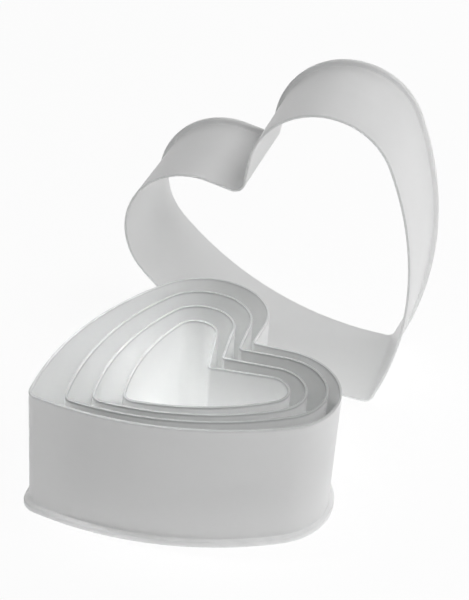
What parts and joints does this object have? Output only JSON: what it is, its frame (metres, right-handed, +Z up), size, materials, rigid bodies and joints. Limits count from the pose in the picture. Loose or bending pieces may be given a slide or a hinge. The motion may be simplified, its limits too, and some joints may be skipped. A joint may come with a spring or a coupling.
{
  "type": "heart cookie cutter set",
  "caption": "Graded heart-shaped cookie cutters: thin white plastic rings, each with a rounded hand flange, nested in one another, with the largest standing on its tip behind.",
  "frame": {"origin": "middle of the set's footprint, on the table that it stands on", "axes": "+Z is up, +Y runs from the nest to the standing cutter and along the way through that cutter, +X to the right"},
  "size_m": [0.1, 0.1328, 0.1049],
  "materials": {
    "cutter_plastic": "satin"
  },
  "bodies": {
    "nest_base": {"outer_nested_cutter": "cutter_plastic"},
    "second_cutter": {"second_nested_cutter": "cutter_plastic"},
    "third_cutter": {"third_nested_cutter": "cutter_plastic"},
    "inner_cutter": {"inner_nested_cutter": "cutter_plastic"},
    "standing_cutter": {"largest_cutter": "cutter_plastic"}
  },
  "joints": [
    {"name": "second_lift", "type": "slide", "parent": "nest_base", "child": "second_cutter", "axis": [0, 0, 1], "range_m": [0, 0.045]},
    {"name": "third_lift", "type": "slide", "parent": "nest_base", "child": "third_cutter", "axis": [0, 0, 1], "range_m": [0, 0.045]},
    {"name": "inner_lift", "type": "slide", "parent": "nest_base", "child": "inner_cutter", "axis": [0, 0, 1], "range_m": [0, 0.045]},
    {"name": "largest_lift", "type": "slide", "parent": "nest_base", "child": "standing_cutter", "axis": [0, 0, 1], "range_m": [0, 0.045]}
  ]
}
